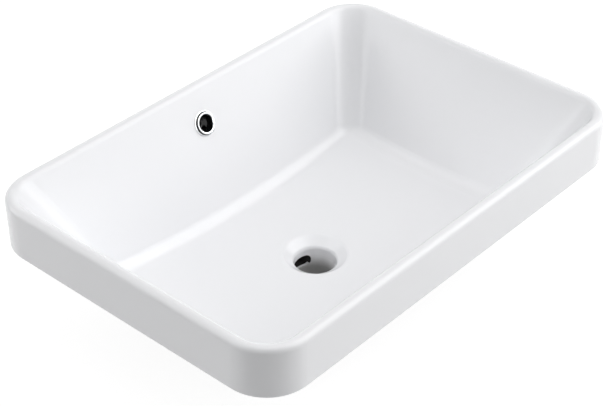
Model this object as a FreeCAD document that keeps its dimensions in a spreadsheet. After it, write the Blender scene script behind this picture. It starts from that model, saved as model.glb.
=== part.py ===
"""Semi recessed basin: a glazed casting with a raised band, its overflow ring and its worktop fixings.

Millimetres, +Z up. The origin is the centre of the waste outlet's foot, X runs along the long side and
the overflow is on the +Y side. Depths are measured down from the rim's crest.
"""
import FreeCAD
import Part
import math
import os
import Sketcher
from FreeCAD import Placement, Rotation, Vector

# Every driving dimension, written once. Plain millimetres, or degrees where the comment says so.
DIMENSIONS = {
    # outline and raised band
    "basin_length": 550,
    "basin_width": 380,
    "total_height": 180,
    "corner_radius": 48,        # outer corners, seen from above
    "band_height": 56,          # crest to the face that sits on the worktop
    "skirt_thickness": 10,
    "rim_depth": 22,            # solid ceramic between the crest and the hollow of the band
    "rim_width": 11.5,          # outer face to the inner edge, at the crest
    "rim_round": 6,             # outer edge of the crest
    "rim_lip": 7.5,             # inner edge of the crest
    "foot_round": 2,            # edges of the seat face
    # bowl
    "lean_long": 26,            # degrees from vertical, front and back walls
    "lean_end": 30,             # degrees from vertical, end walls
    "wall_thickness": 8,
    "inner_corner_top": 40.5,   # upright inner corners, at the crest, square to the corner's slope
    "inner_corner_low": 29,     # and at the floor
    "bowl_depth": 134.4,        # crest to the middle of the floor
    "floor_radius": 1650,       # dish of the floor
    "floor_thickness": 8,
    "floor_fillet": 20,         # wall to floor, inside
    "belly_fillet": 30,         # wall to floor, outside
    # waste outlet
    "waste_diameter": 46,
    "funnel_diameter": 70,
    "funnel_depth": 8.5,
    "funnel_lip": 5,
    "funnel_throat": 4,         # funnel to bore
    "boss_diameter": 66,
    "boss_round": 1.5,
    # overflow, cast into the back wall
    "overflow_depth": 37.5,     # crest to the middle of the hole
    "overflow_bore": 24,
    "passage_width": 28,
    "passage_gap": 9,
    "passage_wall": 7,          # ceramic between the bowl and the passage
    "passage_shell": 6,         # ceramic round the outside of the passage
    "outlet_height": 21,        # foot of the boss to the middle of the slot
    "outlet_opening": 14,
    "outlet_round": 6,
    # overflow ring and sleeve
    "ring_diameter": 28.4,
    "ring_opening": 18.5,
    "ring_thickness": 2,
    "ring_edge": 0.7,
    "spigot_diameter": 20.6,
    "spigot_length": 8,
    "spigot_clearance": 0.05,
    "sleeve_length": 7,
    "sleeve_slot": 2,
    # seat seal
    "seal_inset": 3.5,
    "seal_width": 5,
    "seal_thickness": 2,
    # worktop fixings
    "stud_inset": 30,           # stud axis to both side faces of the band
    "stud_diameter": 6,
    "stud_reach": 17,           # stud end below the seat face
    "stud_embedment": 14,
    "stud_chamfer": 0.8,
    "lug_diameter": 28,
    "lug_rise": 8,              # lug's underside above the seat face
    "plug_diameter": 10,
    "plug_depth": 15,
    "collar_diameter": 14,
    "collar_thickness": 1.5,
    "park_gap": 0.3,            # collar to the parked clamp
    "park_turn": 60,            # degrees, parked clamp turned from the corner's diagonal to the end
    "face_gap": 0.1,            # between the faces that turn on each other
    "clamp_width": 14,
    "clamp_thickness": 2.5,
    "clamp_tail": 8,
    "clamp_reach": 19,
    "clamp_leg": 9.5,           # stud axis to the outer face of the leg
    "clamp_drop": 19.5,          # top of the arm to the top of the tongue
    "clamp_bore": 6.6,
    "pad_thickness": 3,
    "pad_margin": 1,
    "washer_diameter": 12,
    "washer_bore": 6.4,
    "washer_thickness": 1.6,
    "nut_flats": 10,
    "nut_height": 5,
    "nut_bore": 6.1,
}

CORNERS = {
    "front_left": (-1, -1),
    "front_right": (1, -1),
    "back_left": (-1, 1),
    "back_right": (1, 1),
}

# Heights and places that several pieces share, as expressions of the sheet.
CREST = "dims.total_height"
SEAT = "(dims.total_height - dims.band_height)"
FLOOR = "(dims.total_height - dims.bowl_depth)"
COLLAR_FOOT = f"({SEAT} + dims.lug_rise - dims.collar_thickness)"
CLAMP_TOP = f"({COLLAR_FOOT} - dims.park_gap)"
WASHER_TOP = f"({CLAMP_TOP} - dims.clamp_thickness - dims.face_gap)"
NUT_TOP = f"({WASHER_TOP} - dims.washer_thickness - dims.face_gap)"
WALL_SIN = "sin(dims.lean_long * 1 deg)"
WALL_COS = "cos(dims.lean_long * 1 deg)"
WALL_TAN = "tan(dims.lean_long * 1 deg)"
WALL_TOP_Y = "(dims.basin_width / 2 - dims.rim_width)"
OVERFLOW_Y = f"({WALL_TOP_Y} - {WALL_TAN} * dims.overflow_depth)"
OVERFLOW_Z = f"({CREST} - dims.overflow_depth)"
CLEAR = 5                       # how far a cutting tool runs past the face that it cuts
TOLERANCE = 0.01                # for telling edges apart

doc = FreeCAD.newDocument("semi_recessed_basin")


def make_sheet():
    """The spreadsheet that drives the model."""
    sheet = doc.addObject("Spreadsheet::Sheet", "dims")
    for row, (name, value) in enumerate(DIMENSIONS.items(), start=1):
        sheet.set(f"A{row}", name)
        sheet.set(f"B{row}", str(value))
        sheet.setAlias(f"B{row}", name)
    doc.recompute()
    return sheet


dims = make_sheet()


def bind(item, sizes):
    """Tie properties of an object to expressions of the sheet."""
    for name, expression in sizes.items():
        item.setExpression(name, expression)
    return item


def primitive(kind, name, sizes):
    return bind(doc.addObject(f"Part::{kind}", name), sizes)


def combine(kind, name, base, tool):
    """A boolean of two objects: Cut, Fuse or Common."""
    result = doc.addObject(f"Part::{kind}", name)
    result.Base = base
    result.Tool = tool
    return result


def join(name, shapes):
    result = doc.addObject("Part::MultiFuse", name)
    result.Shapes = shapes
    return result


def fillet(name, base, wanted, radius, low_radius=None):
    """Round the edges for which wanted(edge) is true, tapering to low_radius at their lower end."""
    doc.recompute()
    result = doc.addObject("Part::Fillet", name)
    result.Base = base
    edges = []
    for number, edge in enumerate(base.Shape.Edges, start=1):
        if not wanted(edge):
            continue
        starts_low = edge.Vertexes[0].Z < edge.Vertexes[-1].Z
        ends = (radius, radius if low_radius is None else low_radius)
        edges.append((number, *(ends if starts_low else reversed(ends))))
    result.Edges = edges
    return result


def is_upright(edge):
    """True for the corner edges of a block, whose other edges all lie level."""
    return edge.BoundBox.ZLength > TOLERANCE


def is_along_y(edge):
    return edge.BoundBox.YLength > TOLERANCE


def is_level_at(height):
    """A test for the edges that lie level at this height."""
    def test(edge):
        box = edge.BoundBox
        return abs(box.ZMin - height) < TOLERANCE and abs(box.ZMax - height) < TOLERANCE
    return test


# ---------------------------------------------------------------- solids that the casting is made from

def rounded_block(name, inset, bottom, top):
    """A straight block under the basin's outline, set in from it all round."""
    block = primitive("Box", f"{name}_block", {
        "Length": f"dims.basin_length - 2 * ({inset})",
        "Width": f"dims.basin_width - 2 * ({inset})",
        "Height": f"({top}) - ({bottom})",
        "Placement.Base.x": f"({inset}) - dims.basin_length / 2",
        "Placement.Base.y": f"({inset}) - dims.basin_width / 2",
        "Placement.Base.z": bottom,
    })
    doc.recompute()
    block_inset = block.Placement.Base.x + dims.basin_length / 2
    return fillet(name, block, is_upright, dims.corner_radius - block_inset)


def bowl_block(name, shift, bottom, top):
    """A block whose four sides follow the bowl's leaning walls, moved outward by shift."""
    def half(size, lean, height):
        slope = f"tan(dims.{lean} * 1 deg) * ({CREST} - ({height}))"
        return f"({size} / 2 - dims.rim_width - {slope} + ({shift}) / cos(dims.{lean} * 1 deg))"

    block = primitive("Wedge", f"{name}_block", {
        "Ymin": bottom,
        "Ymax": top,
        "Xmin": "-" + half("dims.basin_length", "lean_end", bottom),
        "Xmax": half("dims.basin_length", "lean_end", bottom),
        "X2min": "-" + half("dims.basin_length", "lean_end", top),
        "X2max": half("dims.basin_length", "lean_end", top),
        "Zmin": "-" + half("dims.basin_width", "lean_long", bottom),
        "Zmax": half("dims.basin_width", "lean_long", bottom),
        "Z2min": "-" + half("dims.basin_width", "lean_long", top),
        "Z2max": half("dims.basin_width", "lean_long", top),
    })
    block.Placement = Placement(Vector(), Rotation(Vector(1, 0, 0), 90))
    return block


def above_floor(name, block, depth):
    """The part of a block that lies above the dished floor, or above a sheet this far below it."""
    dish = primitive("Sphere", f"{name}_dish", {"Radius": f"dims.floor_radius + ({depth})"})
    dish.Placement = Placement(Vector(), Rotation(Vector(0, 1, 0), -90))
    dish.setExpression("Placement.Base.z", f"{FLOOR} + dims.floor_radius")
    return combine("Common", name, block, dish)


def round_floor_edge(name, base, radius):
    """Round the edge between the leaning walls and the dished floor."""
    doc.recompute()
    dish = next(face for face in base.Shape.Faces if isinstance(face.Surface, Part.Sphere))
    return fillet(name, base, lambda edge: any(edge.isSame(side) for side in dish.Edges), radius)


def leaning_box(name, width, offset, thickness, start, end):
    """A box along the back wall: offset outward from its inner face, from start to end down the slope."""
    box = primitive("Box", name, {"Length": width, "Width": thickness, "Height": f"({end}) - ({start})"})
    box.Placement = Placement(Vector(), Rotation(Vector(-1, 0, 0), 1))
    return bind(box, {
        "Placement.Rotation.Angle": "dims.lean_long * 1 deg",
        "Placement.Base.x": f"-({width}) / 2",
        "Placement.Base.y": f"{WALL_TOP_Y} - {WALL_SIN} * ({end}) + {WALL_COS} * ({offset})",
        "Placement.Base.z": f"{CREST} - {WALL_COS} * ({end}) - {WALL_SIN} * ({offset})",
    })


def level_box(name, width, start, end, bottom, top):
    """A box along +Y, centred on X."""
    return primitive("Box", name, {
        "Length": width,
        "Width": f"({end}) - ({start})",
        "Height": f"({top}) - ({bottom})",
        "Placement.Base.x": f"-({width}) / 2",
        "Placement.Base.y": start,
        "Placement.Base.z": bottom,
    })


def upright_cylinder(name, diameter, bottom, top, place_x="0", place_y="0"):
    return primitive("Cylinder", name, {
        "Radius": f"{diameter} / 2",
        "Height": f"({top}) - ({bottom})",
        "Placement.Base.x": place_x,
        "Placement.Base.y": place_y,
        "Placement.Base.z": bottom,
    })


def stud_x(side):
    return f"{side} * (dims.basin_length / 2 - dims.stud_inset)"


def stud_y(side):
    return f"{side} * (dims.basin_width / 2 - dims.stud_inset)"


def make_band():
    """The raised band: rounded at the crest and open underneath."""
    block = rounded_block("band_outline", "0", SEAT, CREST)
    crest_rounded = fillet("band_crest", block, is_level_at(dims.total_height), dims.rim_round)
    seat_height = dims.total_height - dims.band_height
    foot_rounded = fillet("band_foot", crest_rounded, is_level_at(seat_height), dims.foot_round)
    hollow = rounded_block("band_hollow", "dims.skirt_thickness", f"{SEAT} - {CLEAR}",
                           f"{CREST} - dims.rim_depth")
    return combine("Cut", "band", foot_rounded, hollow)


def make_belly():
    """The outside of the bowl, below the band's crest."""
    block = bowl_block("belly", "dims.wall_thickness", f"{FLOOR} - 2 * dims.floor_thickness",
                       f"{CREST} - dims.rim_round")
    corner_top = dims.inner_corner_top + dims.wall_thickness
    corner_low = dims.inner_corner_low + dims.wall_thickness
    cornered = fillet("belly_corners", block, is_upright, corner_top, corner_low)
    dished = above_floor("belly_dished", cornered, "dims.floor_thickness")
    return round_floor_edge("belly_rounded", dished, dims.belly_fillet)


def make_cavity():
    """The inside of the bowl, down to the dished floor."""
    block = bowl_block("cavity", "0", f"{FLOOR} - {CLEAR}", f"{CREST} + {CLEAR}")
    cornered = fillet("cavity_corners", block, is_upright, dims.inner_corner_top, dims.inner_corner_low)
    dished = above_floor("cavity_dished", cornered, "0")
    return round_floor_edge("cavity_rounded", dished, dims.floor_fillet)


# The overflow passage: down behind the back wall, then along under the floor to the waste bore.
PASSAGE_START = f"(dims.overflow_depth / {WALL_COS} - dims.overflow_bore / 2)"
PASSAGE_END = f"(({CREST} - dims.outlet_height) / {WALL_COS} - dims.passage_wall * {WALL_TAN})"
PASSAGE_BACK_Y = (f"({WALL_TOP_Y} - {WALL_TAN} * ({CREST} - dims.outlet_height)"
                  f" + (dims.passage_wall + dims.passage_gap) / {WALL_COS})")
OUTLET_LOW = "(dims.outlet_height - dims.outlet_opening / 2)"
OUTLET_HIGH = "(dims.outlet_height + dims.outlet_opening / 2)"


def make_passage():
    drop = leaning_box("passage_drop", "dims.passage_width", "dims.passage_wall", "dims.passage_gap",
                       PASSAGE_START, PASSAGE_END)
    run = level_box("passage_run", "dims.passage_width", "dims.waste_diameter / 4", PASSAGE_BACK_Y,
                    OUTLET_LOW, OUTLET_HIGH)
    return [drop, fillet("passage_run_rounded", run, is_along_y, dims.outlet_round)]


def make_passage_housing():
    """The ridge round the passage, kept inside the band's outer face."""
    width = "(dims.passage_width + 2 * dims.passage_shell)"
    thickness = "(dims.passage_wall / 2 + dims.passage_gap + dims.passage_shell)"
    drop = leaning_box("housing_drop", width, "dims.passage_wall / 2", thickness,
                       "dims.rim_depth / 2", f"{PASSAGE_END} + dims.passage_shell")
    limit = level_box("housing_limit", width, "0", "dims.basin_width / 2 - dims.skirt_thickness / 2",
                      f"{OUTLET_LOW} - dims.passage_shell", f"{CREST} - dims.rim_depth / 2")
    run = level_box("housing_run", width, "0", f"{PASSAGE_BACK_Y} + dims.passage_shell",
                    f"{OUTLET_LOW} - dims.passage_shell", FLOOR)
    return [combine("Common", "housing_drop_kept", drop, limit), run]


def make_overflow_bore():
    """The round hole in the back wall, square to it, as far as the passage."""
    depth = "(dims.passage_wall + dims.passage_gap / 2)"
    bore = primitive("Cylinder", "overflow_bore", {
        "Radius": "dims.overflow_bore / 2",
        "Height": f"{depth} + {CLEAR}",
    })
    bore.Placement = Placement(Vector(), Rotation(Vector(-1, 0, 0), 1))
    return bind(bore, {
        "Placement.Rotation.Angle": "(90 + dims.lean_long) * 1 deg",
        "Placement.Base.y": f"{OVERFLOW_Y} - {WALL_COS} * {CLEAR}",
        "Placement.Base.z": f"{OVERFLOW_Z} + {WALL_SIN} * {CLEAR}",
    })


def make_funnel():
    """The funnel in the floor."""
    rise = "(dims.funnel_diameter / 2) ^ 2 / (2 * dims.floor_radius)"
    spread = "(dims.funnel_diameter - dims.waste_diameter) / 2"
    height = f"(dims.funnel_depth + {rise})"
    return primitive("Cone", "funnel", {
        "Radius1": "dims.waste_diameter / 2",
        "Radius2": f"dims.funnel_diameter / 2 + {CLEAR} * {spread} / {height}",
        "Height": f"{height} + {CLEAR}",
        "Placement.Base.z": f"{FLOOR} - dims.funnel_depth",
    })


def make_waste_bore():
    return upright_cylinder("waste_bore", "dims.waste_diameter", f"-{CLEAR}",
                            f"{FLOOR} - dims.funnel_depth / 2")


def make_lugs():
    """The four lugs in the corners of the band that hold the fixings' plugs."""
    return [upright_cylinder(f"lug_{corner}", "dims.lug_diameter", f"{SEAT} + dims.lug_rise",
                             f"{CREST} - dims.rim_depth / 2", stud_x(x), stud_y(y))
            for corner, (x, y) in CORNERS.items()]


def make_plug_holes():
    mouth = f"{SEAT} + dims.lug_rise"
    return [upright_cylinder(f"plug_hole_{corner}", "dims.plug_diameter", f"{mouth} - {CLEAR}",
                             f"{mouth} + dims.plug_depth", stud_x(x), stud_y(y))
            for corner, (x, y) in CORNERS.items()]


def make_ceramic_basin():
    """One casting: band, bowl, waste boss, lugs and the ridge of the overflow passage."""
    boss = upright_cylinder("boss_block", "dims.boss_diameter", "0", f"{FLOOR} - dims.floor_thickness / 2")
    boss_rounded = fillet("boss", boss, is_level_at(0), dims.boss_round)
    outside = join("casting_outside", [make_band(), make_belly(), boss_rounded, *make_lugs(),
                                       *make_passage_housing()])
    bowl = join("bowl_space", [make_cavity(), make_funnel(), make_waste_bore()])
    bowl_rounded = fillet("bowl_space_rounded", bowl, is_funnel_lip, dims.funnel_lip)
    throat_rounded = fillet("bowl_space_throat", bowl_rounded, is_funnel_throat, dims.funnel_throat)
    inside = join("casting_inside", [throat_rounded, *make_passage(), make_overflow_bore(),
                                     *make_plug_holes()])
    hollowed = combine("Cut", "casting_hollowed", outside, inside)
    return fillet("ceramic_basin", hollowed, is_inner_lip, dims.rim_lip)


def is_inner_lip(edge):
    """The inner edge of the crest."""
    box = edge.BoundBox
    between = (dims.rim_round + dims.rim_width) / 2
    inside_x = max(box.XMax, -box.XMin) < dims.basin_length / 2 - between
    inside_y = max(box.YMax, -box.YMin) < dims.basin_width / 2 - between
    return is_level_at(dims.total_height)(edge) and inside_x and inside_y


def is_funnel_lip(edge):
    """The rim of the funnel, where it meets the dished floor."""
    box = edge.BoundBox
    return abs(box.XMax - dims.funnel_diameter / 2) < 0.5 and abs(box.YMax - dims.funnel_diameter / 2) < 0.5


def is_funnel_throat(edge):
    """The edge between the funnel and the waste bore."""
    throat = dims.total_height - dims.bowl_depth - dims.funnel_depth
    return is_level_at(throat)(edge) and abs(edge.BoundBox.XMax - dims.waste_diameter / 2) < TOLERANCE


# ---------------------------------------------------------------- small pieces, each a body of its own

def new_body(name):
    return doc.addObject("PartDesign::Body", name)


def origin_plane(body, role):
    return next(plane for plane in body.Origin.OriginFeatures if plane.Role == role)


def new_sketch(body, name, role):
    sketch = body.newObject("Sketcher::SketchObject", f"{body.Name}_{name}")
    sketch.AttachmentSupport = [(origin_plane(body, role), "")]
    sketch.MapMode = "FlatFace"
    return sketch


def outline_sketch(body, name, role, corners):
    """A closed outline whose corners are each held at two expressions of the sheet."""
    sketch = new_sketch(body, name, role)
    count = len(corners)
    spots = [Vector(math.cos(2 * math.pi * k / count), math.sin(2 * math.pi * k / count)) * 10
             for k in range(count)]
    for k in range(count):
        sketch.addGeometry(Part.LineSegment(spots[k], spots[(k + 1) % count]))
    for k in range(count):
        sketch.addConstraint(Sketcher.Constraint("Coincident", k, 2, (k + 1) % count, 1))
    for k, (across, up) in enumerate(corners):
        for kind, value, expression in (("DistanceX", spots[k].x, across), ("DistanceY", spots[k].y, up)):
            number = sketch.addConstraint(Sketcher.Constraint(kind, -1, 1, k, 1, value))
            sketch.setExpression(f"Constraints[{number}]", expression)
    return sketch


def circle_sketch(body, name, role, diameter):
    sketch = new_sketch(body, name, role)
    sketch.addGeometry(Part.Circle(Vector(), Vector(0, 0, 1), 5))
    sketch.addConstraint(Sketcher.Constraint("Coincident", 0, 3, -1, 1))
    number = sketch.addConstraint(Sketcher.Constraint("Diameter", 0, 10))
    sketch.setExpression(f"Constraints[{number}]", diameter)
    return sketch


def turned_body(name, corners):
    """A body turned about its own Z axis from an outline of (radius, height) corners."""
    body = new_body(name)
    sketch = outline_sketch(body, "profile", "XZ_Plane", corners)
    turned = body.newObject("PartDesign::Revolution", f"{name}_turned")
    turned.Profile = sketch
    turned.ReferenceAxis = (sketch, ["V_Axis"])
    turned.Angle = 360
    body.Tip = turned
    return body


def padded(body, sketch, name, length, symmetric=False):
    pad = body.newObject("PartDesign::Pad", f"{body.Name}_{name}")
    pad.Profile = sketch
    pad.SideType = "Symmetric" if symmetric else "One side"
    pad.setExpression("Length", length)
    body.Tip = pad
    return pad


def cut_through(body, sketch, name):
    """Cut a sketch's outline through the whole body, both ways."""
    pocket = body.newObject("PartDesign::Pocket", f"{body.Name}_{name}")
    pocket.Profile = sketch
    pocket.SideType = "Symmetric"
    pocket.Type = "ThroughAll"
    body.Tip = pocket
    return pocket


def tube_corners(inner_radius, outer_radius, bottom, top):
    return [(inner_radius, bottom), (outer_radius, bottom), (outer_radius, top), (inner_radius, top)]


def place_at_stud(body, corner, height, angle=0):
    """Put a body on the stud axis of a corner, with its origin at this height."""
    x, y = CORNERS[corner]
    body.Placement = Placement(Vector(), Rotation(Vector(0, 0, 1), angle))
    return bind(body, {
        "Placement.Base.x": stud_x(x),
        "Placement.Base.y": stud_y(y),
        "Placement.Base.z": height,
    })


def place_in_overflow(body):
    """Put a body on the overflow's axis, with its origin on the wall and its Z into the bowl."""
    body.Placement = Placement(Vector(), Rotation(Vector(1, 0, 0), 1))
    return bind(body, {
        "Placement.Rotation.Angle": "(90 - dims.lean_long) * 1 deg",
        "Placement.Base.y": OVERFLOW_Y,
        "Placement.Base.z": OVERFLOW_Z,
    })


def make_overflow_ring():
    """The bezel: a domed flange on the wall and a spigot that the sleeve holds."""
    opening = "dims.ring_opening / 2"
    spigot = "dims.spigot_diameter / 2"
    flange = "dims.ring_diameter / 2"
    slope = "(dims.ring_thickness - dims.ring_edge)"
    return place_in_overflow(turned_body("overflow_ring", [
        (opening, "-dims.spigot_length"),
        (spigot, "-dims.spigot_length"),
        (spigot, "0"),
        (flange, "0"),
        (flange, "dims.ring_edge"),
        (f"{flange} - {slope}", "dims.ring_thickness"),
        (f"{opening} + {slope} / 2", "dims.ring_thickness"),
        (opening, f"dims.ring_thickness - {slope} / 2"),
    ]))


def make_overflow_sleeve():
    """The plastic tube in the ceramic hole, split into legs that grip the spigot."""
    bore = "(dims.spigot_diameter / 2 + dims.spigot_clearance)"
    tube = tube_corners(bore, "dims.overflow_bore / 2", "-dims.sleeve_length", "0")
    body = turned_body("overflow_sleeve", tube)
    half = "dims.sleeve_slot / 2"
    reach = "dims.overflow_bore"
    slot = outline_sketch(body, "slot", "XZ_Plane", [
        (f"-{half}", f"-{reach}"),
        (half, f"-{reach}"),
        (half, "-dims.sleeve_length / 3"),
        (f"-{half}", "-dims.sleeve_length / 3"),
    ])
    cut_through(body, slot, "slots")
    return place_in_overflow(body)


def make_seat_seal():
    """The soft strip stuck under the band's foot, all the way round."""
    low = f"{SEAT} - dims.seal_thickness"
    outer = rounded_block("seal_outer", "dims.seal_inset", low, SEAT)
    inner = rounded_block("seal_inner", "(dims.seal_inset + dims.seal_width)", f"{low} - {CLEAR}",
                          f"{SEAT} + {CLEAR}")
    return combine("Cut", "seat_seal", outer, inner)


def make_fixing_plug(corner):
    """The plastic plug pushed up into the lug, with a collar under it."""
    bore = "dims.stud_diameter / 2"
    body = turned_body(f"fixing_plug_{corner}", [
        (bore, "-dims.collar_thickness"),
        ("dims.collar_diameter / 2", "-dims.collar_thickness"),
        ("dims.collar_diameter / 2", "0"),
        ("dims.plug_diameter / 2", "0"),
        ("dims.plug_diameter / 2", "dims.plug_depth"),
        (bore, "dims.plug_depth"),
    ])
    return place_at_stud(body, corner, f"{SEAT} + dims.lug_rise")


def make_fixing_stud(corner):
    """The threaded stud, screwed up into the plug."""
    radius = "dims.stud_diameter / 2"
    length = "(dims.stud_reach + dims.lug_rise + dims.stud_embedment)"
    body = turned_body(f"fixing_stud_{corner}", [
        ("0", "0"),
        (f"{radius} - dims.stud_chamfer", "0"),
        (radius, "dims.stud_chamfer"),
        (radius, length),
        ("0", length),
    ])
    return place_at_stud(body, corner, f"{SEAT} - dims.stud_reach")


def parked_angle(corner):
    """The parked clamp lies along the basin's end, inside the worktop's cut-out."""
    x, y = CORNERS[corner]
    return math.degrees(math.atan2(-y, -x)) + x * y * dims.park_turn


def make_clamp_plate(corner):
    """A cranked clamp: an arm round the stud, a leg down and a tongue that hooks under the worktop."""
    body = new_body(f"clamp_plate_{corner}")
    sheet_low = "-dims.clamp_thickness"
    tongue_top = "-dims.clamp_drop"
    profile = outline_sketch(body, "profile", "XZ_Plane", [
        ("-dims.clamp_tail", sheet_low),
        ("dims.clamp_leg - dims.clamp_thickness", sheet_low),
        ("dims.clamp_leg - dims.clamp_thickness", f"{tongue_top} - dims.clamp_thickness"),
        ("dims.clamp_reach", f"{tongue_top} - dims.clamp_thickness"),
        ("dims.clamp_reach", tongue_top),
        ("dims.clamp_leg", tongue_top),
        ("dims.clamp_leg", "0"),
        ("-dims.clamp_tail", "0"),
    ])
    padded(body, profile, "bent_strip", "dims.clamp_width", symmetric=True)
    cut_through(body, circle_sketch(body, "bore", "XY_Plane", "dims.clamp_bore"), "stud_hole")
    return place_at_stud(body, corner, CLAMP_TOP, parked_angle(corner))


def make_clamp_pad(corner):
    """The rubber pad on the tongue."""
    body = new_body(f"clamp_pad_{corner}")
    half = "(dims.clamp_width / 2 - dims.pad_margin)"
    near = "dims.clamp_leg"
    far = "(dims.clamp_reach - dims.pad_margin)"
    outline = outline_sketch(body, "outline", "XY_Plane", [
        (near, f"-{half}"), (far, f"-{half}"), (far, half), (near, half)])
    padded(body, outline, "block", "dims.pad_thickness")
    return place_at_stud(body, corner, f"{CLAMP_TOP} - dims.clamp_drop", parked_angle(corner))


def make_fixing_washer(corner):
    body = turned_body(f"fixing_washer_{corner}", tube_corners(
        "dims.washer_bore / 2", "dims.washer_diameter / 2", "-dims.washer_thickness", "0"))
    return place_at_stud(body, corner, WASHER_TOP)


def make_fixing_nut(corner):
    body = new_body(f"fixing_nut_{corner}")
    outline = outline_sketch(body, "hexagon", "XY_Plane", [
        (f"dims.nut_flats / sqrt(3) * cos({60 * k} deg)", f"dims.nut_flats / sqrt(3) * sin({60 * k} deg)")
        for k in range(6)])
    padded(body, outline, "blank", "dims.nut_height")
    cut_through(body, circle_sketch(body, "bore", "XY_Plane", "dims.nut_bore"), "thread_bore")
    return place_at_stud(body, corner, f"{NUT_TOP} - dims.nut_height", parked_angle(corner))


def make_nodes():
    """Every separate piece, as {node name: object}."""
    nodes = {
        "ceramic_basin": make_ceramic_basin(),
        "overflow_ring": make_overflow_ring(),
        "overflow_sleeve": make_overflow_sleeve(),
        "seat_seal": make_seat_seal(),
    }
    makers = {
        "fixing_plug": make_fixing_plug,
        "fixing_stud": make_fixing_stud,
        "clamp_plate": make_clamp_plate,
        "clamp_pad": make_clamp_pad,
        "fixing_washer": make_fixing_washer,
        "fixing_nut": make_fixing_nut,
    }
    for corner in CORNERS:
        for piece, make in makers.items():
            nodes[f"{piece}_{corner}"] = make(corner)
    return nodes


def check_document(nodes):
    """Stop if any object failed or any piece isn't one sound solid."""
    failed = [item.Name for item in doc.Objects if {"Invalid", "Error"} & set(item.State)]
    for name, item in nodes.items():
        shape = item.Shape
        if shape.isNull() or not shape.isValid() or len(shape.Solids) != 1:
            failed.append(name)
    if failed:
        raise RuntimeError("These objects failed: " + ", ".join(failed))


def export_nodes(nodes):
    os.makedirs("parts", exist_ok=True)
    for name, item in nodes.items():
        item.Label = name
        item.Shape.exportStep(f"parts/{name}.step")
        print(f"{name}: {item.Shape.Volume / 1000:.2f} cm3")


all_nodes = make_nodes()
doc.recompute()
check_document(all_nodes)
export_nodes(all_nodes)
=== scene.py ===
# %% [markdown]
# # A semi recessed basin, dressed for the studio
#
# The basin is one glazed casting of vitreous china that sits in a worktop: the raised band stays above
# it, the bowl goes through it, and four clamps hold it from below. The construction model gives every
# piece at its real size. This lesson gives the pieces their finish, and models again the small ones
# whose real shape is richer than the construction model: threads, bends, barbs and rounded edges.

import math

import bmesh
import bpy
from mathutils import Euler, Matrix, Vector


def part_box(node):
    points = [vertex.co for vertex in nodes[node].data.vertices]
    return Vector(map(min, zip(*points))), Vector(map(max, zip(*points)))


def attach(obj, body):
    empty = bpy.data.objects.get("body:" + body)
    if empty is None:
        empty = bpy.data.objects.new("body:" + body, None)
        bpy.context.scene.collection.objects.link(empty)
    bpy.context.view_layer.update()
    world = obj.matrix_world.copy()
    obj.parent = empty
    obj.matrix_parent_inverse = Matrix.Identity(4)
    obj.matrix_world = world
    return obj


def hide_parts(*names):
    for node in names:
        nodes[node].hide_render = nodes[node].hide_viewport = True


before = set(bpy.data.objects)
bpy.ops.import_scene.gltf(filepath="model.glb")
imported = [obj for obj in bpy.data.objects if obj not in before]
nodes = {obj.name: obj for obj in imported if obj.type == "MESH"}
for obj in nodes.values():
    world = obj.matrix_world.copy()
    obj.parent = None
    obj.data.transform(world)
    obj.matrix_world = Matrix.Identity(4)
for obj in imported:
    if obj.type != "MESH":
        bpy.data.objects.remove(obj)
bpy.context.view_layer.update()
scene = bpy.context.scene

# %% [markdown]
# ## Sizes
#
# Blender counts in metres and a maker in millimetres. So the shapes are written in millimetres, and
# each helper brings them to metres. A size or a place that a construction piece shows is read from that
# piece.

# %% Sizes from the construction model
MM = 0.001


def size_of(node):
    """How long, wide and high a construction piece is, in millimetres."""
    low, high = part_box(node)
    return [round(side / MM, 3) for side in high - low]


def foot_of(node):
    """The height of a construction piece's lowest point, in millimetres."""
    return round(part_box(node)[0].z / MM, 3)


def top_of(node):
    """The height of a construction piece's highest point, in millimetres."""
    return round(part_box(node)[1].z / MM, 3)


CREST = top_of("ceramic_basin")
SEAT = top_of("seat_seal")
print("basin", size_of("ceramic_basin"), "mm, with the seat face at", SEAT, "mm")

# %% [markdown]
# ## The camera
#
# The photograph was taken from the front left, looking down at about 36 degrees, with a long lens that
# keeps the sides of the basin nearly parallel. The camera stands where the four corners of the band,
# the overflow and the waste all fall on their places in the photograph.

# %% Camera
CAMERA_PLACE = Vector((-1.022, -0.8948, 1.0853))
CAMERA_DOWN = math.radians(35.61)       # below the horizon
CAMERA_HEADING = math.radians(48.31)    # from the back, +Y, towards the right, +X
LENS_MM = 94.8
SENSOR_MM = 36.0

camera_data = bpy.data.cameras.new("camera")
camera_data.lens = LENS_MM
camera_data.sensor_width = SENSOR_MM
camera = bpy.data.objects.new("camera", camera_data)
camera.location = CAMERA_PLACE
camera.rotation_euler = Euler((math.pi / 2 - CAMERA_DOWN, 0, -CAMERA_HEADING))
scene.collection.objects.link(camera)
scene.camera = camera
print("camera distance", round(CAMERA_PLACE.length, 3), "m")

# %% [markdown]
# ## Colours and shader nodes
#
# Colours are written as they look on a screen, in hex, and one function turns them into the linear
# light that the renderer adds up. A second small function adds a shader node with its settings and
# links, so that each material below reads from top to bottom.

# %% Helpers for materials
def linear(hex_colour):
    """Linear red, green, blue and alpha of an sRGB hex colour."""
    channels = [int(hex_colour[i:i + 2], 16) / 255 for i in (1, 3, 5)]
    lit = [c / 12.92 if c <= 0.04045 else ((c + 0.055) / 1.055) ** 2.4 for c in channels]
    return (*lit, 1.0)


def add_node(tree, kind, inputs=None, **settings):
    """Add a shader node. An input is a value, or the output socket that feeds it."""
    node = tree.nodes.new(kind)
    for name, value in settings.items():
        setattr(node, name, value)
    for name, value in (inputs or {}).items():
        if isinstance(value, bpy.types.NodeSocket):
            tree.links.new(value, node.inputs[name])
        else:
            node.inputs[name].default_value = value
    return node


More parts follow.
